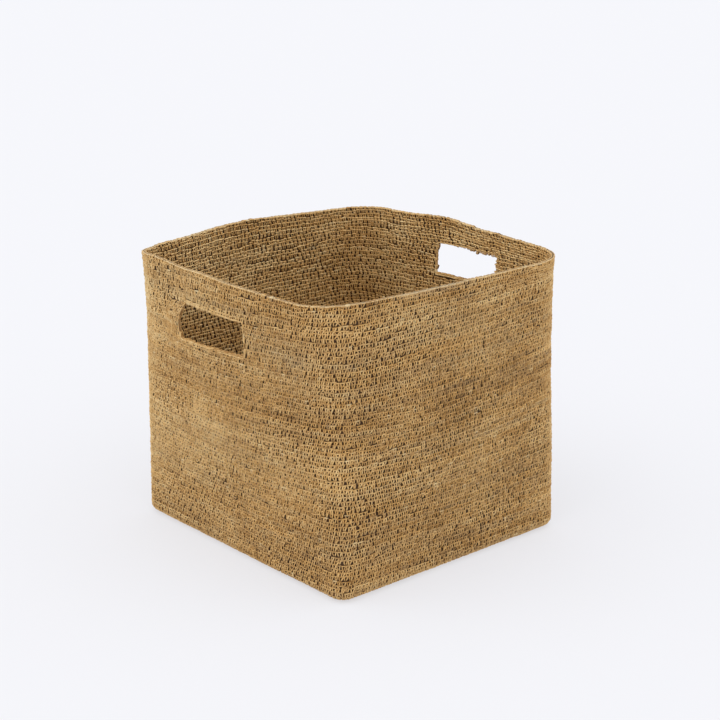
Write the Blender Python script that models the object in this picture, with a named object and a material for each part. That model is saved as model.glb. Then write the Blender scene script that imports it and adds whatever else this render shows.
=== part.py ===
"""Seagrass storage basket: an open, roughly square basket with soft upright
walls, a flat woven base and a hand opening in each of the two side walls.

Frame: metres, +Z up, origin at the centre of the base on the floor.
The hand openings are in the -X (left) and +X (right) walls; -Y is the front.

The basket is worked in rounds of seagrass cord: a flat base panel, one round
that turns up at the edge, the courses of the lower wall, two runs of short
courses that leave a hand opening on each side, the courses of the grip band
that close over the openings, and the last round that makes the rim. Each
opening is lined with one round of edging. Every stage is one solid here.
"""
import bpy
import math

# ---------------------------------------------------------------- dimensions
GAP = 0.0003              # clearance between neighbouring solids
FABRIC = 0.0055           # thickness of the woven fabric

BASE_HALF_X = 0.1653      # base, half its width between the side walls
BASE_HALF_Y = 0.1776      # base, half its depth front to back
BASE_CORNER_R = 0.020     # plan radius of the base corners
TURN_R = 0.012            # radius of the edge where the base turns up

RIM_HALF_X = 0.1720       # rim, before it is pushed out of true
RIM_HALF_Y = 0.1780
RIM_CORNER_R = 0.055
RIM_HEIGHT = 0.3180       # mean height of the rim

# How far the soft rim stands off its rounded rectangle, at eight stations:
# middle of the right wall, back right corner, middle of the back wall, back
# left corner, middle of the left wall, front left corner, middle of the front
# wall, front right corner. (x, y, height)
RIM_PUSH = (
    (0.0125, 0.0001, 0.0026),
    (0.0003, -0.0006, 0.0004),
    (-0.0002, 0.0127, 0.0029),
    (-0.0033, 0.0010, -0.0042),
    (-0.0116, 0.0000, 0.0010),
    (-0.0028, 0.0021, 0.0014),
    (0.0000, -0.0091, 0.0037),
    (-0.0004, 0.0001, 0.0003),
)

# Shorter waves in the rim's height: where along the rim, reach, height.
RIM_WAVES = (
    (0.12, 0.22, 0.0048),
    (0.40, 0.25, 0.0033),
    (1.62, 0.22, 0.0055),
    (2.12, 0.25, -0.0028),
    (2.36, 0.25, -0.0041),
)

# The corners flare a little just under the rim: back right, back left, front
# left, front right.
LIP_FLARE = (0.0, 0.0049, 0.0011, 0.0022)

EDGING = 0.0045           # width of the edging round in an opening
OPENING_HEIGHT = 0.0360   # clear height of a hand opening
OPENING_CORNER_R = 0.007  # radius of its clear corners
LEFT_OPENING_Y = (-0.037, 0.070)     # clear span of the left opening
RIGHT_OPENING_Y = (-0.058, 0.041)    # clear span of the right opening
OPENING_MID_Z = 0.2673    # mean height of the middle of the openings
COURSE_TILT = 0.0091      # the courses climb round the basket by this much
COURSE_TILT_DIR = math.radians(-35)  # towards this side

RIM_COURSE = 0.0050       # height of the last round

# Stations round one quarter, from the middle of a wall to the middle of the
# next, as fractions of the quarter's length; they crowd at the corner.
QUARTER = (0.0, 0.10, 0.20, 0.29, 0.36, 0.42, 0.465, 0.492, 0.518, 0.545,
           0.58, 0.63, 0.70, 0.79, 0.89)


# ------------------------------------------------------------------ geometry
def rounded_rectangle(u, half_x, half_y, radius):
    """Point at u (0..4, one unit a quarter, from the middle of the +X side,
    anticlockwise) on a rounded rectangle, with its outward normal."""
    u = u % 4.0
    quarter = int(u)
    f = u - quarter
    if quarter % 2 == 0:
        first, second = half_y - radius, half_x - radius
    else:
        first, second = half_x - radius, half_y - radius
    arc = math.pi * radius / 2
    s = f * (first + arc + second)
    if s < first:
        along, inset, turn = s, 0.0, 0.0
    elif s < first + arc:
        turn = (s - first) / radius
        along = first + radius * math.sin(turn)
        inset = radius * (1 - math.cos(turn))
    else:
        along, inset, turn = first + radius, radius + s - first - arc, math.pi / 2
    c, n = math.cos(turn), math.sin(turn)
    if quarter == 0:
        return (half_x - inset, along), (c, n)
    if quarter == 1:
        return (-along, half_y - inset), (-n, c)
    if quarter == 2:
        return (-half_x + inset, -along), (-c, -n)
    return (along, -half_y + inset), (n, -c)


def fade(distance, reach):
    """Raised cosine: 1 at no distance, 0 from reach on."""
    if abs(distance) >= reach:
        return 0.0
    return 0.5 + 0.5 * math.cos(math.pi * distance / reach)


def round_trip(u, centre):
    """Signed distance along the rim from centre to u, the short way."""
    return (u - centre + 2) % 4 - 2


def rim_height(u):
    height = RIM_HEIGHT
    for k, (_, _, lift) in enumerate(RIM_PUSH):
        height += lift * fade(round_trip(u, k / 2), 0.5)
    for centre, reach, wave in RIM_WAVES:
        height += wave * fade(round_trip(u, centre), reach)
    return height


def outline(u, z):
    """Outer face of the wall at u and height z."""
    (bx, by), _ = rounded_rectangle(u, BASE_HALF_X, BASE_HALF_Y, BASE_CORNER_R)
    (rx, ry), _ = rounded_rectangle(u, RIM_HALF_X, RIM_HALF_Y, RIM_CORNER_R)
    for k, (px, py, _) in enumerate(RIM_PUSH):
        w = fade(round_trip(u, k / 2), 0.5)
        rx += w * px
        ry += w * py
    w = max(0.0, (z - TURN_R) / (rim_height(u) - TURN_R))
    x, y = bx + w * (rx - bx), by + w * (ry - by)
    for k, flare in enumerate(LIP_FLARE):
        a = math.radians(45 + 90 * k)
        f = flare * fade(round_trip(u, k + 0.5), 0.5) * w ** 6
        x += f * math.cos(a)
        y += f * math.sin(a)
    return x, y


def outward(u, z):
    """Outward direction in plan of the wall at u and height z."""
    x0, y0 = outline(u - 0.004, z)
    x1, y1 = outline(u + 0.004, z)
    dx, dy = x1 - x0, y1 - y0
    length = math.hypot(dx, dy)
    return dy / length, -dx / length


def wall_point(u, z, depth):
    """Point of the wall at u and z, depth behind its outer face."""
    x, y = outline(u, z)
    nx, ny = outward(u, z)
    return (x - depth * nx, y - depth * ny, z)


def opening_mid(u):
    """Height of the course through the middle of the openings."""
    x, y = outline(u, OPENING_MID_Z)
    return OPENING_MID_Z + COURSE_TILT * math.cos(math.atan2(y, x) - COURSE_TILT_DIR)


def lower_line(u):
    return opening_mid(u) - OPENING_HEIGHT / 2 - EDGING


def upper_line(u):
    return opening_mid(u) + OPENING_HEIGHT / 2 + EDGING


def station_at(y, lo, hi):
    """u between lo and hi where the wall, at opening height, is at this y."""
    rising = outline(hi, OPENING_MID_Z)[1] > outline(lo, OPENING_MID_Z)[1]
    for _ in range(50):
        mid = (lo + hi) / 2
        if (outline(mid, OPENING_MID_Z)[1] < y) == rising:
            lo = mid
        else:
            hi = mid
    return (lo + hi) / 2


def all_stations():
    return [q + f for q in range(4) for f in QUARTER]


# -------------------------------------------------------------------- meshes
def make_object(name, points, faces, colour, roughness):
    mesh = bpy.data.meshes.new(name)
    mesh.from_pydata(points, [], faces)
    mesh.validate()
    mesh.update()
    mesh.shade_smooth()
    mesh.set_sharp_from_angle(angle=math.radians(40))
    material = bpy.data.materials.new(name)
    material.use_nodes = True
    shader = material.node_tree.nodes["Principled BSDF"]
    shader.inputs["Base Color"].default_value = (*colour, 1.0)
    shader.inputs["Roughness"].default_value = roughness
    shader.inputs["Metallic"].default_value = 0.0
    mesh.materials.append(material)
    obj = bpy.data.objects.new(name, mesh)
    bpy.context.scene.collection.objects.link(obj)
    return obj


def ring_solid(name, sections, closed, colour, roughness=0.85):
    """Solid from a list of cross-sections, each an equal list of points
    that runs down the outer face, inwards, and up the inner face."""
    count = len(sections)
    m = len(sections[0])
    points = [p for section in sections for p in section]
    faces = []
    for i in range(count if closed else count - 1):
        j = (i + 1) % count
        for k in range(m):
            n = (k + 1) % m
            faces.append((i * m + k, i * m + n, j * m + n, j * m + k))
    if not closed:
        faces.append(tuple(range(m - 1, -1, -1)))
        faces.append(tuple((count - 1) * m + k for k in range(m)))
    return make_object(name, points, faces, colour, roughness)


def wall_section(u, z_low, z_high, steps):
    """Cross-section of a piece of wall at u, between two heights."""
    section = []
    for k in range(steps + 1):
        z = z_high - (z_high - z_low) * k / steps
        section.append(wall_point(u, z, 0.0))
    for k in range(steps + 1):
        z = z_low + (z_high - z_low) * k / steps
        section.append(wall_point(u, z, FABRIC))
    return section


STRAW = (0.47, 0.32, 0.145)
STRAW_DARK = (0.40, 0.27, 0.12)
STRAW_LIGHT = (0.56, 0.42, 0.22)

for old in list(bpy.data.objects):
    bpy.data.objects.remove(old, do_unlink=True)


# Base panel: a flat slab of woven rounds, out to where the edge turns up.
def base_panel():
    inset = TURN_R + GAP
    ring = []
    for u in all_stations():
        (x, y), _ = rounded_rectangle(u, BASE_HALF_X - inset, BASE_HALF_Y - inset,
                                      BASE_CORNER_R - inset)
        ring.append((x, y))
    n = len(ring)
    points = [(x, y, 0.0) for x, y in ring] + [(x, y, FABRIC) for x, y in ring]
    faces = [tuple(range(n - 1, -1, -1)), tuple(range(n, 2 * n))]
    for i in range(n):
        j = (i + 1) % n
        faces.append((i, j, n + j, n + i))
    make_object("base_panel", points, faces, STRAW_DARK, 0.88)


# Turning round: the quarter bend between the base and the wall.
def base_turn():
    sections = []
    for u in all_stations():
        section = []
        for k in range(6):
            a = math.radians(90 * k / 5)
            inset = TURN_R * (1 - math.cos(a))
            (x, y), _ = rounded_rectangle(u, BASE_HALF_X - inset, BASE_HALF_Y - inset,
                                          BASE_CORNER_R - inset)
            section.append((x, y, TURN_R * (1 - math.sin(a))))
        inner = TURN_R - FABRIC
        for k in range(4):
            a = math.radians(90 - 90 * k / 3)
            inset = TURN_R - inner * math.cos(a)
            (x, y), _ = rounded_rectangle(u, BASE_HALF_X - inset, BASE_HALF_Y - inset,
                                          BASE_CORNER_R - inset)
            section.append((x, y, TURN_R - inner * math.sin(a)))
        sections.append(section)
    ring_solid("base_turn_round", sections, True, STRAW_DARK)


# Lower wall: the full rounds from the turning round up to the openings.
def lower_wall():
    sections = [wall_section(u, TURN_R + GAP, lower_line(u) - GAP, 6)
                for u in all_stations()]
    ring_solid("wall_lower", sections, True, STRAW)


# Short courses in front of and behind the openings.
def middle_wall(name, start, end):
    inside = [q for k in range(3) for q in (s + 4 * k for s in all_stations())
              if start + 0.02 < q < end - 0.02]
    sections = [wall_section(u, lower_line(u) + GAP, upper_line(u) - GAP, 2)
                for u in [start] + inside + [end]]
    ring_solid(name, sections, False, STRAW)


# Grip band: the full rounds that close over the openings.
def upper_wall():
    sections = [wall_section(u, upper_line(u) + GAP,
                             rim_height(u) - RIM_COURSE - GAP, 2)
                for u in all_stations()]
    ring_solid("wall_grip_band", sections, True, STRAW)


# Rim: the last round, with a rounded top.
def rim():
    sections = []
    half = FABRIC / 2
    for u in all_stations():
        top = rim_height(u)
        # over the rounded top from the inner face to the outer, then down
        section = []
        for k in range(7):
            a = math.radians(180 - 180 * k / 6)
            section.append(wall_point(u, top - half + half * math.sin(a),
                                      half - half * math.cos(a)))
        section.append(wall_point(u, top - RIM_COURSE, 0.0))
        section.append(wall_point(u, top - RIM_COURSE, FABRIC))
        sections.append(section)
    ring_solid("rim_round", sections, True, STRAW_LIGHT)


# Edging: one round of cord that lines a hand opening.
def edging(name, span, lo, hi):
    y0, y1 = span
    ua = station_at(y0 - EDGING, lo, hi)
    ub = station_at(y1 + EDGING, lo, hi)
    half_width = (y1 - y0) / 2 + EDGING
    half_height = OPENING_HEIGHT / 2 + EDGING
    clear = 1.5 * GAP

    def at(along, up, depth):
        """Point of the loop, along and up measured from its middle."""
        u = (ua + ub) / 2 + abs(ub - ua) / 2 * along / half_width
        return wall_point(u, opening_mid(u) + up, depth)

    sections = []
    for k in range(48):
        f = 4.0 * k / 48
        (ox, oz), _ = rounded_rectangle(f, half_width - clear, half_height - clear, 0.002)
        (ix, iz), _ = rounded_rectangle(f, half_width - EDGING, half_height - EDGING,
                                        OPENING_CORNER_R)
        sections.append([at(ox, oz, FABRIC), at(ix, iz, FABRIC),
                         at(ix, iz, 0.0), at(ox, oz, 0.0)])
    ring_solid(name, sections, True, STRAW_LIGHT)


base_panel()
base_turn()
lower_wall()

left_front = station_at(LEFT_OPENING_Y[0] - EDGING, 1.6, 2.4)
left_back = station_at(LEFT_OPENING_Y[1] + EDGING, 1.6, 2.4)
right_front = station_at(RIGHT_OPENING_Y[0] - EDGING, -0.4, 0.4)
right_back = station_at(RIGHT_OPENING_Y[1] + EDGING, -0.4, 0.4)

middle_wall("wall_middle_front", left_front, right_front + 4)
middle_wall("wall_middle_back", right_back, left_back)
upper_wall()
rim()
edging("handle_edging_left", LEFT_OPENING_Y, 1.6, 2.4)
edging("handle_edging_right", RIGHT_OPENING_Y, -0.4, 0.4)
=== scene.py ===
"""Seagrass storage basket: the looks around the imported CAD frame.

Every visible surface is crochet made stitch by stitch. A stitch is worked in
its own small frame: a along the round (one unit a stitch), b up the course
(one unit a course) and c out of the fabric (metres from its middle), and the
fabric itself is one sheet, from the middle of the base out over the turned
edge and up the wall to the rim.
"""

import math

import bpy
import numpy as np
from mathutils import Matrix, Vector


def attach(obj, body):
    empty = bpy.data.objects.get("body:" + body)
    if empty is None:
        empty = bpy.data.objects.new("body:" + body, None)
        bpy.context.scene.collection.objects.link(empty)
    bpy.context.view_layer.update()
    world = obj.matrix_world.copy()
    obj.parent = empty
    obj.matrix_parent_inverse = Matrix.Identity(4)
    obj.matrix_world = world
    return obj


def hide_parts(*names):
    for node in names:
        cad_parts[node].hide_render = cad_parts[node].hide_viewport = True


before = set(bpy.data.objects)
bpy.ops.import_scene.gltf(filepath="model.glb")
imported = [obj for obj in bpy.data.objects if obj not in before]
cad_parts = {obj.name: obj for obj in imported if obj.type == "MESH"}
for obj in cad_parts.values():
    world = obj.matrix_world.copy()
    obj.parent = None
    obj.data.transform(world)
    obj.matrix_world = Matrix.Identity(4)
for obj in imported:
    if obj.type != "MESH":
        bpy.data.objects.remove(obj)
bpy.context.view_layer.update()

# ------------------------------------------------------------- the CAD's shape
FABRIC = 0.0055
BASE_HALF_X, BASE_HALF_Y, BASE_CORNER_R, TURN_R = 0.1653, 0.1776, 0.020, 0.012
RIM_HALF_X, RIM_HALF_Y, RIM_CORNER_R, RIM_HEIGHT = 0.1720, 0.1780, 0.055, 0.3180
RIM_PUSH = (
    (0.0125, 0.0001, 0.0026), (0.0003, -0.0006, 0.0004),
    (-0.0002, 0.0127, 0.0029), (-0.0033, 0.0010, -0.0042),
    (-0.0116, 0.0000, 0.0010), (-0.0028, 0.0021, 0.0014),
    (0.0000, -0.0091, 0.0037), (-0.0004, 0.0001, 0.0016),
)
RIM_WAVES = ((0.12, 0.22, 0.0048), (0.40, 0.25, 0.0033), (1.62, 0.22, 0.0055),
             (2.12, 0.25, -0.0028), (2.36, 0.25, -0.0041))
LIP_FLARE = (0.0, 0.0049, 0.0011, 0.0042)
EDGING, OPENING_HEIGHT, EDGE_CORNER_R = 0.0045, 0.0360, 0.0040
LEFT_OPENING_Y, RIGHT_OPENING_Y = (-0.037, 0.070), (-0.058, 0.041)
OPENING_MID_Z, COURSE_TILT, COURSE_TILT_DIR = 0.2673, 0.0091, math.radians(-35)
RIM_COURSE = 0.0050

# ------------------------------------------------------------------ the weave
STITCHES = 244            # stitches in a round of the wall
BASE_ROUNDS = 35          # rounds of the flat base
TURN_ROUNDS = 3           # rounds that turn up at the edge
LOWER_ROUNDS = 54         # courses of the lower wall
MIDDLE_ROUNDS = 10        # short courses beside the openings
UPPER_ROUNDS = 6          # courses of the grip band
T_MIDDLE = LOWER_ROUNDS
T_UPPER = T_MIDDLE + MIDDLE_ROUNDS
T_RIM = T_UPPER + UPPER_ROUNDS
T_TOP = T_RIM + 1
BASE_PITCH = (BASE_HALF_X - TURN_R) / BASE_ROUNDS
STITCH_WIDTH = 0.00545


def rounded_rectangle(u, half_x, half_y, radius):
    u = np.mod(u, 4.0)
    quarter = np.minimum(np.floor(u).astype(int), 3)
    f = u - quarter
    even = quarter % 2 == 0
    first = np.where(even, half_y - radius, half_x - radius)
    second = np.where(even, half_x - radius, half_y - radius)
    arc = math.pi * radius / 2
    s = f * (first + arc + second)
    turn = np.clip((s - first) / np.maximum(radius, 1e-6), 0, math.pi / 2)
    along = np.where(s < first, s, first + radius * np.sin(turn))
    inset = radius * (1 - np.cos(turn)) + np.maximum(0, s - first - arc)
    x = np.choose(quarter, [half_x - inset, -along, inset - half_x, along])
    y = np.choose(quarter, [along, half_y - inset, -along, inset - half_y])
    return x, y


def fade(distance, reach):
    d = np.abs(distance)
    return np.where(d < reach, 0.5 + 0.5 * np.cos(math.pi * np.minimum(d / reach, 1)), 0.0)


def round_trip(u, centre):
    return np.mod(u - centre + 2, 4.0) - 2


# The outline is read from a fine table round the basket.
TABLE_U = np.linspace(0, 4, 8001)
_b = rounded_rectangle(TABLE_U[:-1], BASE_HALF_X, BASE_HALF_Y, BASE_CORNER_R)
_r = rounded_rectangle(TABLE_U[:-1], RIM_HALF_X, RIM_HALF_Y, RIM_CORNER_R)
_h = np.full(8000, RIM_HEIGHT)
_rx, _ry = _r[0].copy(), _r[1].copy()
for _k, (_px, _py, _lift) in enumerate(RIM_PUSH):
    _w = fade(round_trip(TABLE_U[:-1], _k / 2), 0.5)
    _rx, _ry, _h = _rx + _w * _px, _ry + _w * _py, _h + _w * _lift
for _c, _reach, _wave in RIM_WAVES:
    _h = _h + _wave * fade(round_trip(TABLE_U[:-1], _c), _reach)
_fx, _fy = np.zeros(8000), np.zeros(8000)
for _k, _flare in enumerate(LIP_FLARE):
    _w = _flare * fade(round_trip(TABLE_U[:-1], _k + 0.5), 0.5)
    _fx, _fy = _fx + _w * math.cos(math.radians(45 + 90 * _k)), _fy + _w * math.sin(math.radians(45 + 90 * _k))
TABLE = {name: np.append(col, col[0]) for name, col in
         dict(bx=_b[0], by=_b[1], rx=_rx, ry=_ry, h=_h, fx=_fx, fy=_fy).items()}


def at_u(name, u):
    return np.interp(np.mod(u, 4.0), TABLE_U, TABLE[name])


def outline(u, z):
    h = at_u("h", u)
    w = np.maximum(0.0, (z - TURN_R) / (h - TURN_R))
    bx, by = at_u("bx", u), at_u("by", u)
    w6 = w ** 6
    return (bx + w * (at_u("rx", u) - bx) + w6 * at_u("fx", u),
            by + w * (at_u("ry", u) - by) + w6 * at_u("fy", u))


def outward(u, z):
    x0, y0 = outline(u - 0.004, z)
    x1, y1 = outline(u + 0.004, z)
    dx, dy = x1 - x0, y1 - y0
    length = np.hypot(dx, dy)
    return dy / length, -dx / length


_x, _y = outline(TABLE_U, OPENING_MID_Z)
TABLE["mid"] = OPENING_MID_Z + COURSE_TILT * np.cos(np.arctan2(_y, _x) - COURSE_TILT_DIR)
HALF_OPEN = OPENING_HEIGHT / 2 + EDGING

# The rounds climb a little towards the corners of the lower wall.
CORNER_CLIMB = (0.004, 0.004, 0.009, 0.006)   # back right, back left, front left, front right
_climb = np.zeros(8001)
for _k, _c in enumerate(CORNER_CLIMB):
    _climb += _c * fade(round_trip(TABLE_U, _k + 0.5), 0.42)
TABLE["climb"] = _climb


# The far end of the left opening is bent: how far its edge lies out from true
# at each height, from the course below the opening (0) to the one above (1).
BEND_AT = (-0.5, 0.0, 0.10, 0.34, 0.52, 0.88, 1.0, 1.5)
BEND = (0.0, 0.0060, 0.0085, 0.0112, 0.0088, -0.0050, -0.0046, 0.0)
BEND_U = 1.775            # u of that end
METRES_A_UNIT = 0.331     # length of one quarter of the round


def bend(u, f):
    """Shift of u near the bent end, at height f of the opening."""
    reach = fade(u - BEND_U, 0.13)
    return -reach * np.interp(f, BEND_AT, BEND) / METRES_A_UNIT


def sag(u, f):
    """The left opening has also been pulled a little out of true in height,
    more at the bent end than at the other."""
    over = np.clip(1.7 * fade(round_trip(u, 2.0), 0.45), 0, 1)
    far = fade(round_trip(u, 1.72), 0.40)
    low = np.interp(f, (-0.9, 0.1, 0.5), (0.0, 1.0, 0.0))
    high = np.interp(f, (0.5, 0.9, 1.5), (0.0, 1.0, 0.0))
    return over * (low * (-0.0036 - 0.0020 * far) + high * (-0.0024 + 0.0048 * far))


def course_height(u, t):
    """Height of the course line t at u, on the wall (t from 0 up)."""
    mid, top = at_u("mid", u), at_u("h", u)
    low, high = mid - HALF_OPEN, mid + HALF_OPEN
    f = np.clip(t / T_MIDDLE, 0, 1)
    z = TURN_R + f * (low - TURN_R) + at_u("climb", u) * np.sin(math.pi * f ** 1.15) ** 1.5 * 0.8
    z = np.where(t > T_MIDDLE, low + (t - T_MIDDLE) / MIDDLE_ROUNDS * (high - low), z)
    band_top = top - RIM_COURSE
    z = np.where(t > T_UPPER, high + (t - T_UPPER) / UPPER_ROUNDS * (band_top - high), z)
    return np.where(t > T_RIM, band_top + (t - T_RIM) * RIM_COURSE, z)


def fabric(u, t, c):
    """Point of the fabric at u, course t and c out from its middle, with the
    outward normal there. The wall starts at t = 0; the turned rounds and the
    base lie below 0."""
    u, t, c = np.broadcast_arrays(u, t, c)
    shape = u.shape
    u, t, c = u.ravel(), t.ravel(), c.ravel()
    point, normal = np.zeros((u.size, 3)), np.zeros((u.size, 3))
    w = np.nonzero(t >= 0)[0]
    if w.size:
        uu, z = u[w], course_height(u[w], t[w])
        share = (t[w] - T_MIDDLE) / MIDDLE_ROUNDS
        z = z + sag(uu, share)
        uu = uu + bend(uu, share)
        x, y = outline(uu, z)
        nx, ny = outward(uu, z)
        d = FABRIC / 2 - c[w]
        point[w] = np.stack([x - d * nx, y - d * ny, z], 1)
        normal[w] = np.stack([nx, ny, np.zeros_like(nx)], 1)
    w = np.nonzero(t < 0)[0]
    if w.size:
        uu, tt, cc = u[w], t[w], c[w]
        a = np.minimum(-tt / TURN_ROUNDS, 1.0) * math.pi / 2
        rho = TURN_R - FABRIC / 2 + cc
        inset = TURN_R - rho * np.cos(a)
        z = TURN_R - rho * np.sin(a)
        flat = tt < -TURN_ROUNDS
        inset = np.where(flat, TURN_R + (-TURN_ROUNDS - tt) * BASE_PITCH, inset)
        z = np.where(flat, FABRIC / 2 - cc, z)
        radius = np.maximum(BASE_CORNER_R - inset, 0.0035)
        half_x = np.maximum(BASE_HALF_X - inset, 0.0002)
        radius = np.minimum(radius, half_x)
        x, y = rounded_rectangle(uu, half_x, BASE_HALF_Y - inset, radius)
        x0, y0 = rounded_rectangle(uu - 0.004, half_x, BASE_HALF_Y - inset, radius)
        x1, y1 = rounded_rectangle(uu + 0.004, half_x, BASE_HALF_Y - inset, radius)
        dx, dy = x1 - x0, y1 - y0
        length = np.maximum(np.hypot(dx, dy), 1e-9)
        ca, sa = np.where(flat, 0.0, np.cos(a)), np.where(flat, 1.0, np.sin(a))
        point[w] = np.stack([x, y, z], 1)
        normal[w] = np.stack([dy / length * ca, -dx / length * ca, -sa], 1)
    return point.reshape(shape + (3,)), normal.reshape(shape + (3,))


def station_at(y, low, high):
    rising = outline(np.array([high]), OPENING_MID_Z)[1][0] > outline(np.array([low]), OPENING_MID_Z)[1][0]
    for _ in range(50):
        mid = (low + high) / 2
        if (outline(np.array([mid]), OPENING_MID_Z)[1][0] < y) == rising:
            low = mid
        else:
            high = mid
    return (low + high) / 2


def edging_fabric(span, low, high):
    """The same kind of sheet for the edge of a hand opening: u runs round
    the opening, t from 0 at the edging's outer line to 1 at the clear edge."""
    ua, ub = station_at(span[0] - EDGING, low, high), station_at(span[1] + EDGING, low, high)
    half_w = (span[1] - span[0]) / 2 + EDGING
    middle, reach = (ua + ub) / 2, abs(ub - ua) / 2

    def sheet(u, t, c):
        u, t, c = np.broadcast_arrays(u, t, c)
        ox, oz = rounded_rectangle(u, half_w, HALF_OPEN, 0.002)
        ix, iz = rounded_rectangle(u, half_w - EDGING, HALF_OPEN - EDGING, EDGE_CORNER_R)
        along, up = ox + t * (ix - ox), oz + t * (iz - oz)
        wall_u = middle + reach * along / half_w
        share = (up + HALF_OPEN) / (2 * HALF_OPEN)
        z = at_u("mid", wall_u) + up + sag(wall_u, share)
        wall_u = wall_u + bend(wall_u, share)
        x, y = outline(wall_u, z)
        nx, ny = outward(wall_u, z)
        d = FABRIC / 2 - c
        return (np.stack([x - d * nx, y - d * ny, z], -1),
                np.stack([nx, ny, np.zeros_like(nx)], -1))

    return sheet, min(ua, ub), max(ua, ub)


# -------------------------------------------------------------------- the yarn
def wander(count, length, rng):
    """Smooth noise along the yarn, about one knot every length stitches."""
    knots = rng.standard_normal(int(count / length) + 3)
    x = np.arange(count) / length
    i = x.astype(int)
    f = x - i
    f = f * f * (3 - 2 * f)
    return knots[i] * (1 - f) + knots[i + 1] * f


def smooth_field(seed, count, most_round, most_up):
    """A smooth field over the wall, closed round the basket."""
    rng = np.random.default_rng(seed)
    waves = [(rng.integers(1, most_round + 1) * rng.choice([-1, 1]), rng.uniform(-most_up, most_up),
              rng.uniform(0, 2 * math.pi)) for _ in range(count)]

    def field(u, t):
        total = 0.0
        for k, m, phase in waves:
            total = total + np.sin(2 * math.pi * (k * u / 4 + m * t) + phase)
        return total / math.sqrt(count / 2)

    return field


SWELL = smooth_field(11, 9, 9, 0.035)      # slow waves of the soft wall
RIPPLE = smooth_field(12, 10, 30, 0.12)    # shorter ones
PATCHES = smooth_field(13, 12, 14, 0.05)   # lots of yarn of different colour
DRIFT = smooth_field(14, 8, 6, 0.06)       # how the stitches shift sideways


def billow(u, t):
    """How far the soft wall stands out of its true surface."""
    return 0.00035 * SWELL(u, t) + 0.00015 * RIPPLE(u, t)


# Courses worked from a darker or paler lot of cord: middle, reach, change.
LOTS = ((27.0, 7.0, 0.070), (41.5, 5.5, -0.060), (50.5, 2.6, 0.040), (5.0, 7.0, -0.045), (62.0, 7.0, 0.055))


DULL_U = 2.34             # a duller patch beside the left opening

PHASES = np.cumsum(0.47 + np.random.default_rng(77).normal(0, 0.26, 200))


def round_of(t):
    """Stitches of the course at t: places round the basket and their yarn."""
    rng = np.random.default_rng(5000 + int(t))
    if t >= -TURN_ROUNDS:
        n = STITCHES
    else:
        inset = TURN_R + (-TURN_ROUNDS - t - 0.5) * BASE_PITCH
        around = 4 * (BASE_HALF_X + BASE_HALF_Y - 2 * inset) - 0.0068
        n = max(10, round(around / STITCH_WIDTH))
    k = np.arange(n)
    phase = PHASES[int(t) + 60]
    u = np.mod((k + phase) * 4 / n, 4.0)
    order = np.argsort(u)
    s = dict(u=u[order], t=np.full(n, float(t)), du=np.full(n, 4.0 / n))
    s["u"] = s["u"] + s["du"] * (0.55 * DRIFT(s["u"], s["t"]) + rng.normal(0, 0.085, n))
    s["t"] = s["t"] + rng.normal(0, 0.10, n) + 0.10 * RIPPLE(s["u"], s["t"] * 3)
    s["lean"] = rng.normal(0.06, 0.13, n)
    s["fat"] = 1 + rng.normal(0, 0.075, n) - 0.16 * (rng.random(n) < 0.06)
    s["spread"] = np.clip(1 + rng.normal(0, 0.20, n), 0.5, 1.5)
    s["out"] = billow(s["u"], s["t"]) + rng.normal(0, 0.00010, n) + rng.normal(0, 0.00008)
    if t < 0:
        s["out"] = s["out"] * 0.3
    tone = (0.438 + 0.034 * rng.standard_normal(n) + 0.020 * wander(n, 3, rng)
            + 0.045 * wander(n, 14, rng) + 0.030 * wander(n, 60, rng) + 0.016 * rng.standard_normal())
    for middle, reach, change in LOTS:
        tone = tone + change * math.exp(-((t - middle) / reach) ** 2)
    dull = fade(round_trip(s["u"], DULL_U), 0.11) * math.exp(-((t - 55.5) / 3.6) ** 2)
    # The last term makes the wall paler round u = 1.42, by the back left corner, fading out over about a side each
    # way: painted light, as from a lamp at the left and behind.
    s["tone"] = (tone + 0.030 * PATCHES(s["u"], s["t"]) - 0.06 * dull
                 + 0.112 * fade(round_trip(s["u"], 1.42), 0.95) * (t >= 0))
    s["grey"] = np.clip(0.22 + 0.16 * wander(n, 22, rng) + 0.10 * rng.standard_normal(n) + 0.35 * dull, 0, 1)
    streak = np.clip(wander(n, 6, rng) - 1.1, 0, 1)
    s["fleck"] = np.clip((rng.random(n) < 0.014) * rng.uniform(0.25, 0.85, n)
                         + (rng.random(n) < 0.25) * streak * 0.6, 0, 1)
    s["seed"] = rng.random(n)
    return s


def gather(courses, low=None, high=None):
    """All stitches of some courses between two places round the basket."""
    parts = []
    for t in courses:
        s = round_of(t)
        if low is not None:
            turn = np.mod(s["u"] - low, 4.0)
            keep = turn < high - low
            s = {name: col[keep] for name, col in s.items()}
            s["u"] = low + turn[keep]
        parts.append(s)
    return {name: np.concatenate([p[name] for p in parts]) for name in parts[0]}


# ------------------------------------------------------------------ the strands
MM = 0.001
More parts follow.
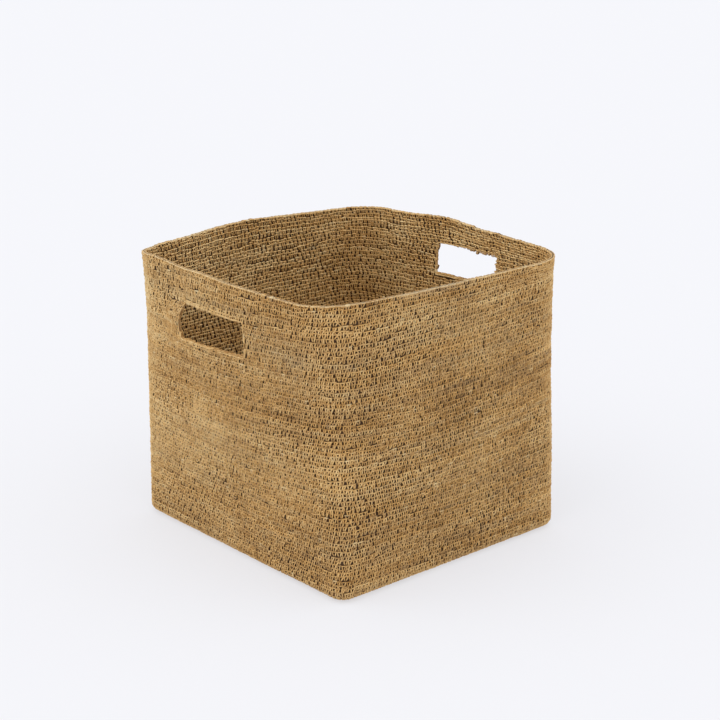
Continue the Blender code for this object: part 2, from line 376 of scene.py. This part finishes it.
# Each strand of a stitch: sides, radius in mm, rows of (a, b, c in mm) from
# tip to tip, how much paler or darker than its stitch it is, and how much greyer.
RIGHT_SIDE = (
    (4, 0.82, ((-0.12, -0.20, 0.3), (-0.16, 0.06, 1.14), (-0.24, 0.46, 1.60), (-0.31, 0.84, 1.22), (-0.34, 1.08, 0.3)), -0.02, 0.0),
    (4, 0.88, ((0.11, -0.20, 0.2), (0.15, 0.06, 1.14), (0.23, 0.46, 1.64), (0.31, 0.84, 1.26), (0.35, 1.08, 0.3)), 0.05, 0.0),
    (4, 0.84, ((-0.76, 0.86, 0.0), (-0.42, 0.92, 0.90), (0.02, 0.96, 1.24), (0.44, 1.00, 0.90), (0.76, 1.04, 0.0)), 0.01, 0.0),
)
# The wrong-side strands are set paler than the right side: painted light that brightens the inside of the basket.
WRONG_SIDE = (
    (4, 0.98, ((-0.64, 0.78, -0.5), (-0.33, 0.93, -1.50), (0.04, 1.00, -1.74), (0.36, 0.93, -1.50), (0.64, 0.78, -0.5)), 0.15, -0.20),
    (4, 0.86, ((-0.14, -0.20, -0.2), (-0.20, 0.10, -1.10), (-0.22, 0.60, -1.15), (-0.14, 0.98, -0.4)), 0.11, -0.20),
    (4, 0.86, ((0.12, -0.20, -0.2), (0.15, 0.10, -1.10), (0.18, 0.60, -1.15), (0.14, 0.98, -0.4)), 0.11, -0.20),
)
CHAIN = (
    (5, 0.72, ((-0.68, 0.76, -0.1), (-0.30, 0.82, 0.95), (0.12, 0.84, 1.50), (0.52, 0.82, 1.05), (0.78, 0.76, 0.0)), 0.17, 0.55),
    (5, 0.72, ((-0.60, 0.76, 0.1), (-0.22, 0.82, -0.95), (0.20, 0.84, -1.50), (0.60, 0.82, -1.05), (0.86, 0.76, 0.0)), 0.17, 0.55),
)
EDGE_CHAIN = (
    (5, 0.86, ((-0.68, 0.70, 0.5), (-0.30, 0.78, 1.20), (0.12, 0.80, 1.62), (0.52, 0.78, 1.25), (0.78, 0.70, 0.5)), 0.05, 0.05),
    (5, 0.86, ((-0.60, 0.70, -0.5), (-0.22, 0.78, -1.20), (0.20, 0.80, -1.62), (0.60, 0.78, -1.25), (0.86, 0.70, -0.5)), 0.03, 0.05),
    (5, 0.98, ((-0.70, 0.72, 0.1), (-0.30, 0.82, 0.02), (0.10, 0.85, -0.02), (0.50, 0.82, 0.02), (0.80, 0.72, 0.1)), 0.00, 0.0),
)


class Piece:
    """Collects strands and sheets, then makes one object of them."""

    def __init__(self):
        self.points, self.yarn = [], []
        self.quads, self.quad_uv, self.quad_lay = [], [], []
        self.tris, self.tri_uv, self.tri_lay = [], [], []
        self.count = 0
        self.cells = 0

    def strands(self, sheet, s, kind, squeeze=1.0):
        """One strand a stitch, of one kind."""
        sides, radius, path, shade, greyer = kind
        path = np.array(path)
        n, rows = len(s["u"]), len(path)
        a, b, c = path[:, 0][None], path[:, 1][None] * squeeze, path[:, 2][None] * MM
        sign = 1.0 if c[0, rows // 2] >= 0 else -1.0
        lean = s["lean"][:, None]
        wob = np.sin(s["seed"][:, None] * 61.0 + np.arange(rows)[None] * 2.3 + radius * 40)
        spread = s["spread"][:, None]
        u = s["u"][:, None] + s["du"][:, None] * (a * np.where(np.abs(a) < 0.5, spread, 1.0) + lean * (b - 0.5) + 0.026 * wob)
        t = s["t"][:, None] + b + 0.02 * np.cos(wob * 5)
        cc = c + s["out"][:, None] + sign * 0.00007 * wob
        centre, normal = sheet(u, t, cc)
        normal = normal * sign
        along = np.empty_like(centre)
        along[:, 1:-1] = centre[:, 2:] - centre[:, :-2]
        along[:, 0] = centre[:, 1] - centre[:, 0]
        along[:, -1] = centre[:, -1] - centre[:, -2]
        along /= np.maximum(np.linalg.norm(along, axis=-1, keepdims=True), 1e-9)
        e1 = np.cross(along, normal)
        e1 /= np.maximum(np.linalg.norm(e1, axis=-1, keepdims=True), 1e-9)
        e2 = np.cross(e1, along)
        first = -math.pi / 2 + (math.pi / sides if sides % 2 else 0.0)
        angle = first + 2 * math.pi * np.arange(sides) / sides
        r = radius * MM * s["fat"][:, None] * (1 + 0.05 * np.sin(wob * 3))
        ring = (centre[:, 1:-1, None]
                + r[:, 1:-1, None, None] * (np.cos(angle)[None, None, :, None] * e1[:, 1:-1, None]
                                            + 0.96 * np.sin(angle)[None, None, :, None] * e2[:, 1:-1, None]))
        points = np.concatenate([centre[:, :1], ring.reshape(n, -1, 3), centre[:, -1:]], 1)
        size = points.shape[1]
        self.points.append(points.reshape(-1, 3))
        own = 0.100 * np.sin(s["seed"] * 997.0 + radius * 911.0 + path[0, 0] * 57.0)
        tone = np.repeat((s["tone"] + shade + own)[:, None], size, 1)
        # painted highlight and shade: a little paler on the crown of the strand, darker on its flanks and where it
        # dives in
        ends = 0.05 * np.sin(np.linspace(0.25, math.pi - 0.25, rows - 2))[:, None]
        painted_flank_shade = 0.30 * (np.sin(angle) - 0.32)[None]
        painted_relief_shade = np.concatenate([[-0.22], (ends + painted_flank_shade).ravel(), [-0.22]])
        tone = tone + painted_relief_shade[None]
        pale = s["fleck"] * (1.0 if abs(path[-1, 0] - path[0, 0]) > 1.0 else 0.25)
        yarn = np.stack([tone, np.repeat(np.clip(s["grey"] + greyer, 0, 1)[:, None], size, 1), np.repeat(pale[:, None], size, 1)], -1)
        self.yarn.append(yarn.reshape(-1, 3))
        # faces
        quads, quad_uv, tris, tri_uv = [], [], [], []
        spin = lambda k: k % sides
        at = lambda j, k: 1 + (j - 1) * sides + spin(k)
        place = lambda j, k: ((j + 0.12) / (rows - 1 + 0.24), (k + 0.10) / (sides + 0.20))
        for j in range(1, rows - 2):
            for k in range(sides):
                quads.append((at(j, k), at(j + 1, k), at(j + 1, k + 1), at(j, k + 1)))
                quad_uv.append((place(j, k), place(j + 1, k), place(j + 1, k + 1), place(j, k + 1)))
        for k in range(sides):
            tris.append((0, at(1, k), at(1, k + 1)))
            tri_uv.append((place(0, k + 0.5), place(1, k), place(1, k + 1)))
            tris.append((size - 1, at(rows - 2, k + 1), at(rows - 2, k)))
            tri_uv.append((place(rows - 1, k + 0.5), place(rows - 2, k + 1), place(rows - 2, k)))
        base = self.count + np.arange(n) * size
        cell = self.cells + np.arange(n)
        for local, uv, faces, uvs, lays in ((quads, quad_uv, self.quads, self.quad_uv, self.quad_lay),
                                            (tris, tri_uv, self.tris, self.tri_uv, self.tri_lay)):
            local, uv = np.array(local), np.array(uv)
            faces.append((base[:, None, None] + local[None]).reshape(-1, local.shape[1]))
            at_cell = np.repeat(cell, local.size).reshape(-1, 1)
            flat = np.tile(uv.reshape(-1, 2), (n, 1))
            uvs.append(np.concatenate([at_cell, flat], 1))
            length = radius * 0 + (rows - 1) * 1.6
            lays.append(np.stack([flat[:, 0] * length + np.repeat(s["seed"] * 50, local.size),
                                  flat[:, 1] * 6.0], 1))
        self.count += n * size
        self.cells += n

    def slab(self, sheet, u0, u1, nu, t0, t1, nt, half, closed):
        """A thin sheet in the middle of the fabric, behind the strands, dark with painted shade that shows through
        the gaps between them.
        """
        us = np.linspace(u0, u1, nu + 1)[: nu if closed else nu + 1]
        ts = np.linspace(t0, t1, nt + 1)
        uu, tt = np.meshgrid(us, ts, indexing="ij")
        m, rows = len(us), nt + 1
        wave = billow(uu, tt) * (1.0 if t0 >= 0 else 0.3)
        front, _ = sheet(uu, tt, wave + half)
        back, _ = sheet(uu, tt, wave - half)
        points = np.concatenate([front.reshape(-1, 3), back.reshape(-1, 3)])
        off = m * rows
        quads = []
        i = np.arange(m if closed else m - 1)
        inext = (i + 1) % m
        for j in range(nt):
            a, b, c, d = i * rows + j, inext * rows + j, inext * rows + j + 1, i * rows + j + 1
            quads.append(np.stack([a, b, c, d], 1))
            quads.append(np.stack([d, c, b, a], 1) + off)
        a, b = i * rows, inext * rows
        quads.append(np.stack([b, a, a + off, b + off], 1))
        a, b = i * rows + nt, inext * rows + nt
        quads.append(np.stack([a, b, b + off, a + off], 1))
        if not closed:
            j = np.arange(nt)
            quads.append(np.stack([j, j + 1, j + 1 + off, j + off], 1))
            j = j + (m - 1) * rows
            quads.append(np.stack([j + 1, j, j + off, j + 1 + off], 1))
        quads = np.concatenate(quads)
        self.points.append(points)
        # tone -0.5 gives the sheet its painted shade colour
        self.yarn.append(np.tile([-0.5, 0.2, 0.0], (len(points), 1)))
        self.quads.append(quads + self.count)
        cell = self.cells + np.arange(len(quads))
        corner = np.array([(0.1, 0.1), (0.9, 0.1), (0.9, 0.9), (0.1, 0.9)])
        uv = np.tile(corner, (len(quads), 1))
        self.quad_uv.append(np.concatenate([np.repeat(cell, 4)[:, None], uv], 1))
        self.quad_lay.append(uv * 5)
        self.count += len(points)
        self.cells += len(quads)

    def build(self, name, material, slot, *nodes):
        points = np.concatenate(self.points).astype(np.float32)
        points[:, 2] = np.maximum(points[:, 2], 0.0)
        quads, tris = np.concatenate(self.quads), np.concatenate(self.tris)
        uv = np.concatenate([np.concatenate(self.quad_uv), np.concatenate(self.tri_uv)])
        lay = np.concatenate([np.concatenate(self.quad_lay), np.concatenate(self.tri_lay)])
        across = int(math.ceil(math.sqrt(self.cells)))
        down = int(math.ceil(self.cells / across))
        u = (uv[:, 0] % across + uv[:, 1]) / across
        v = (uv[:, 0] // across + uv[:, 2]) / down
        mesh = bpy.data.meshes.new(name)
        mesh.vertices.add(len(points))
        mesh.vertices.foreach_set("co", points.ravel())
        corners = np.concatenate([quads.ravel(), tris.ravel()]).astype(np.int32)
        mesh.loops.add(len(corners))
        mesh.loops.foreach_set("vertex_index", corners)
        mesh.polygons.add(len(quads) + len(tris))
        starts = np.concatenate([np.arange(len(quads)) * 4, len(quads) * 4 + np.arange(len(tris)) * 3])
        mesh.polygons.foreach_set("loop_start", starts.astype(np.int32))
        mesh.update(calc_edges=True)
        layer = mesh.uv_layers.new(name="OFBake")
        layer.data.foreach_set("uv", np.stack([u, v], 1).astype(np.float32).ravel())
        layer = mesh.uv_layers.new(name="strand")
        layer.data.foreach_set("uv", lay.astype(np.float32).ravel())
        mesh.uv_layers.active = mesh.uv_layers["OFBake"]
        yarn = mesh.attributes.new("yarn", "FLOAT_VECTOR", "POINT")
        yarn.data.foreach_set("vector", np.concatenate(self.yarn).astype(np.float32).ravel())
        mesh.shade_smooth()
        mesh.materials.append(material)
        obj = bpy.data.objects.new(name, mesh)
        bpy.context.scene.collection.objects.link(obj)
        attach(obj, "root")
        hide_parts(*nodes)
        print("piece", name, len(points), "points", 2 * len(quads) + len(tris), "triangles")
        return obj


# ------------------------------------------------------------------ materials
def straw(name, ramp, gap_shade, grey_mix, rough):
    """Twisted seagrass cord: its colour follows the yarn's own tone."""
    material = bpy.data.materials.new(name)
    material.use_nodes = True
    nodes, links = material.node_tree.nodes, material.node_tree.links
    shader = nodes["Principled BSDF"]
    shader.inputs["Specular IOR Level"].default_value = 0.32
    shader.inputs["Metallic"].default_value = 0.0

    attribute = nodes.new("ShaderNodeAttribute")
    attribute.attribute_name = "yarn"
    parts = nodes.new("ShaderNodeSeparateXYZ")
    links.new(attribute.outputs["Vector"], parts.inputs[0])

    place = nodes.new("ShaderNodeTexCoord")
    fibre = nodes.new("ShaderNodeTexNoise")
    fibre.inputs["Scale"].default_value = 620.0
    fibre.inputs["Detail"].default_value = 4.0
    fibre.inputs["Roughness"].default_value = 0.65
    links.new(place.outputs["Object"], fibre.inputs["Vector"])

    lay = nodes.new("ShaderNodeUVMap")
    lay.uv_map = "strand"
    stretch = nodes.new("ShaderNodeMapping")
    stretch.inputs["Rotation"].default_value = (0, 0, math.radians(34))
    stretch.inputs["Scale"].default_value = (0.55, 2.6, 1.0)
    links.new(lay.outputs["UV"], stretch.inputs["Vector"])
    lines = nodes.new("ShaderNodeTexNoise")
    lines.inputs["Scale"].default_value = 1.6
    lines.inputs["Detail"].default_value = 3.0
    links.new(stretch.outputs["Vector"], lines.inputs["Vector"])

    def maths(kind, first, second):
        node = nodes.new("ShaderNodeMath")
        node.operation = kind
        for socket, value in zip(node.inputs, (first, second)):
            if isinstance(value, (int, float)):
                socket.default_value = value
            else:
                links.new(value, socket)
        return node.outputs[0]

    wobble = maths("MULTIPLY", maths("SUBTRACT", fibre.outputs["Fac"], 0.5), 0.34)
    streaks = maths("MULTIPLY", maths("SUBTRACT", lines.outputs["Fac"], 0.5), 0.30)
    tone = maths("ADD", maths("ADD", parts.outputs[0], wobble), streaks)

    colours = nodes.new("ShaderNodeValToRGB")
    colours.color_ramp.interpolation = "LINEAR"
    elements = colours.color_ramp.elements
    elements[0].position, elements[0].color = ramp[0][0], (*ramp[0][1], 1)
    elements[1].position, elements[1].color = ramp[-1][0], (*ramp[-1][1], 1)
    for position, colour in ramp[1:-1]:
        element = elements.new(position)
        element.color = (*colour, 1)
    links.new(tone, colours.inputs["Fac"])

    def mix(factor, first, second):
        node = nodes.new("ShaderNodeMix")
        node.data_type = "RGBA"
        for socket, value in ((node.inputs[0], factor), (node.inputs[6], first), (node.inputs[7], second)):
            if isinstance(value, tuple):
                socket.default_value = (*value, 1)
            elif isinstance(value, (int, float)):
                socket.default_value = value
            else:
                links.new(value, socket)
        return node.outputs[2]

    dull = mix(maths("MULTIPLY", parts.outputs[1], 0.45), colours.outputs["Color"], grey_mix)
    pale = mix(maths("MULTIPLY", parts.outputs[2], 0.85), dull, (0.82, 0.68, 0.40))
    # below tone -0.3 the colour is the painted shade of the middle sheet
    on_shade_sheet = maths("LESS_THAN", parts.outputs[0], -0.3)
    links.new(mix(on_shade_sheet, pale, gap_shade), shader.inputs["Base Color"])

    links.new(maths("ADD", maths("MULTIPLY", fibre.outputs["Fac"], 0.22), rough - 0.11), shader.inputs["Roughness"])
    bump = nodes.new("ShaderNodeBump")
    bump.inputs["Strength"].default_value = 0.35
    bump.inputs["Distance"].default_value = 0.0003
    links.new(lines.outputs["Fac"], bump.inputs["Height"])
    links.new(bump.outputs["Normal"], shader.inputs["Normal"])
    return material


WALL_RAMP = ((0.05, (0.145, 0.058, 0.013)), (0.30, (0.345, 0.176, 0.048)), (0.50, (0.530, 0.296, 0.091)),
             (0.70, (0.685, 0.427, 0.160)), (0.95, (0.820, 0.598, 0.290)))
# painted shade for the middle sheet, seen through the gaps between strands; the base gets a lighter one
GAP_SHADE = (0.060, 0.027, 0.008)
wall_straw = straw("seagrass_wall", WALL_RAMP, GAP_SHADE, (0.400, 0.335, 0.215), 0.62)
base_straw = straw("seagrass_base", WALL_RAMP, (0.200, 0.100, 0.032), (0.380, 0.310, 0.190), 0.66)
rim_straw = straw("seagrass_rim", WALL_RAMP, GAP_SHADE, (0.600, 0.545, 0.385), 0.60)


# --------------------------------------------------------------------- pieces
def weave(name, sheet, s, kinds, slab, material, slot, *nodes, squeeze=1.0):
    piece = Piece()
    for kind in kinds:
        piece.strands(sheet, s, kind, squeeze)
    if slab:
        piece.slab(sheet, *slab)
    return piece.build(name, material, slot, *nodes)


BOTH = RIGHT_SIDE + WRONG_SIDE
CORE_HALF = 0.00042

# base: the flat rounds, out to the turned edge
for name, first, last in (("base_inner_rounds", -TURN_ROUNDS - BASE_ROUNDS, -TURN_ROUNDS - 16),
                          ("base_middle_rounds", -TURN_ROUNDS - 16, -TURN_ROUNDS - 7),
                          ("base_outer_rounds", -TURN_ROUNDS - 7, -TURN_ROUNDS)):
    weave(name, fabric, gather(range(first, last)), BOTH,
          (0.0, 4.0, 122, first + (0.02 if first == -TURN_ROUNDS - BASE_ROUNDS else 0), last, last - first, CORE_HALF, True),
          base_straw, "seagrass_base", "base_panel")
weave("turned_edge", fabric, gather(range(-TURN_ROUNDS, 0)), BOTH,
      (0.0, 4.0, 244, -TURN_ROUNDS, 0.0, 6, CORE_HALF, True), base_straw, "seagrass_base", "base_turn_round")

# lower wall: four sides, three bands of courses each
WALLS = (("right", -0.5), ("back", 0.5), ("left", 1.5), ("front", 2.5))
for side, start in WALLS:
    for band, first, last in (("low", 0, 18), ("mid", 18, 36), ("high", 36, 54)):
        weave(f"wall_{side}_{band}", fabric, gather(range(first, last), start, start + 1), BOTH,
              (start, start + 1, 61, first, last, last - first, CORE_HALF, False),
              wall_straw, "seagrass_wall", "wall_lower")

# short courses and the edges of the openings
left_sheet, left_low, left_high = edging_fabric(LEFT_OPENING_Y, 1.6, 2.4)
right_sheet, right_low, right_high = edging_fabric(RIGHT_OPENING_Y, -0.4, 0.4)
half_stitch = 2.0 / STITCHES
for name, start, end, node in (("wall_front_short_courses", left_high, right_low + 4, "wall_middle_front"),
                               ("wall_back_short_courses", right_high, left_low, "wall_middle_back")):
    weave(name, fabric, gather(range(T_MIDDLE, T_UPPER), start, end), BOTH,
          (start, end, 100, T_MIDDLE, T_UPPER, 10, CORE_HALF, False), wall_straw, "seagrass_wall", node)


def edge_stitches(seed, tone):
    rng = np.random.default_rng(seed)
    n = 57
    s = dict(u=(np.arange(n) + 0.5) * 4 / n, t=np.full(n, -0.14), du=np.full(n, 4.0 / n))
    s["u"] = s["u"] + s["du"] * rng.normal(0, 0.05, n)
    s["t"] = s["t"] + rng.normal(0, 0.04, n)
    s["lean"] = np.zeros(n)
    s["fat"] = 1 + rng.normal(0, 0.08, n)
    s["spread"] = np.ones(n)
    s["out"] = rng.normal(0, 0.00012, n)
    below = (np.mod(s["u"], 4) > 2.2) & (np.mod(s["u"], 4) < 3.8)
    s["tone"] = tone + 0.09 * below + 0.04 * rng.standard_normal(n) + 0.04 * wander(n, 6, rng)
    s["grey"] = np.clip(0.25 + 0.15 * rng.standard_normal(n), 0, 1)
    s["fleck"] = (rng.random(n) < 0.03) * 0.6
    s["seed"] = rng.random(n)
    return s


def opening(name, sheet, low, high, seed, node):
    """The course below and above an opening, the ends of the short courses
    beside it and the chain round its edge."""
    piece = Piece()
    end = EDGING / METRES_A_UNIT
    parts = [gather((T_MIDDLE, T_UPPER - 1), low, high)]
    inner = range(T_MIDDLE + 1, T_UPPER - 1)
    parts.append(gather(inner, low, low + end - half_stitch * 0.3))
    parts.append(gather(inner, high - end + half_stitch * 0.3, high))
    s = {key: np.concatenate([p[key] for p in parts]) for key in parts[0]}
    for kind in BOTH:
        piece.strands(fabric, s, kind)
    edge = edge_stitches(seed, 0.50)
    for kind in EDGE_CHAIN:
        piece.strands(sheet, edge, kind)
    piece.slab(sheet, 0.0, 4.0, 114, 0.0, 0.72, 1, CORE_HALF, True)
    piece.build(name, wall_straw, "seagrass_rim", node)


opening("opening_edging_left", left_sheet, left_low, left_high, 71, "handle_edging_left")
opening("opening_edging_right", right_sheet, right_low, right_high, 72, "handle_edging_right")

# grip band and rim
for name, start in (("grip_band_right_back", -0.5), ("grip_band_left_front", 1.5)):
    weave(name, fabric, gather(range(T_UPPER, T_RIM), start, start + 2), BOTH,
          (start, start + 2, 122, T_UPPER, T_RIM, UPPER_ROUNDS, CORE_HALF, False),
          wall_straw, "seagrass_wall", "wall_grip_band")
rim = Piece()
rim_stitches = gather(range(T_RIM, T_TOP))
for kind in BOTH:
    rim.strands(fabric, rim_stitches, kind, 0.72)
rim_stitches["t"] = rim_stitches["t"] * 0.3 + T_RIM * 0.7
for kind in CHAIN:
    rim.strands(fabric, rim_stitches, kind)
rim.slab(fabric, 0.0, 4.0, 244, T_RIM, T_TOP - 0.3, 1, CORE_HALF, True)
rim.build("rim_course", rim_straw, "seagrass_rim", "rim_round")

# ---------------------------------------------------------------------- stage
floor_mesh = bpy.data.meshes.new("floor")
_side = 30.0
floor_mesh.from_pydata([(-_side, -_side, 0), (_side, -_side, 0), (_side, _side, 0), (-_side, _side, 0)], [], [(0, 1, 2, 3)])
floor = bpy.data.objects.new("floor", floor_mesh)
bpy.context.scene.collection.objects.link(floor)
floor.location.z = -0.0002
paper = bpy.data.materials.new("paper")
paper.use_nodes = True
_p = paper.node_tree.nodes["Principled BSDF"]
_p.inputs["Base Color"].default_value = (0.30, 0.30, 0.31, 1)
_p.inputs["Roughness"].default_value = 1.0
_p.inputs["Specular IOR Level"].default_value = 0.0
_p.inputs["Emission Color"].default_value = (0.955, 0.963, 1.0, 1)
_p.inputs["Emission Strength"].default_value = 0.588
floor_mesh.materials.append(paper)

world = bpy.data.worlds.new("studio")
bpy.context.scene.world = world
world.use_nodes = True
world.node_tree.nodes["Background"].inputs["Color"].default_value = (0.955, 0.965, 1.0, 1)
world.node_tree.nodes["Background"].inputs["Strength"].default_value = 0.82


def broad_light(name, towards, strength, spread, colour=(1, 1, 1)):
    """A very wide, far lamp: soft shadows and no fall-off over the floor."""
    light = bpy.data.lights.new(name, "SUN")
    light.energy = strength
    light.angle = math.radians(spread)
    light.color = colour
    obj = bpy.data.objects.new(name, light)
    obj.rotation_euler = Vector(towards).to_track_quat("-Z", "Y").to_euler()
    bpy.context.scene.collection.objects.link(obj)


broad_light("key", (1.0, -0.40, -0.80), 0.60, 70, (1.0, 0.985, 0.955))
broad_light("front", (-0.25, 1.0, -1.30), 0.28, 80, (1.0, 0.99, 0.97))
broad_light("top", (0.10, 0.25, -1.0), 0.80, 100, (1.0, 0.99, 0.98))

# --------------------------------------------------------------------- camera
camera_data = bpy.data.cameras.new("camera")
camera_data.sensor_width = 36.0
camera_data.lens = 85.0
camera_data.clip_end = 200.0
camera = bpy.data.objects.new("camera", camera_data)
camera.location = (-1.2023, -1.3868, 0.7692)
camera.rotation_euler = (Vector((0.0094, -0.0083, 0.1916)) - camera.location).to_track_quat("-Z", "Y").to_euler()
bpy.context.scene.collection.objects.link(camera)
bpy.context.scene.camera = camera
bpy.context.scene.view_settings.view_transform = "Standard"
bpy.context.scene.view_settings.look = "None"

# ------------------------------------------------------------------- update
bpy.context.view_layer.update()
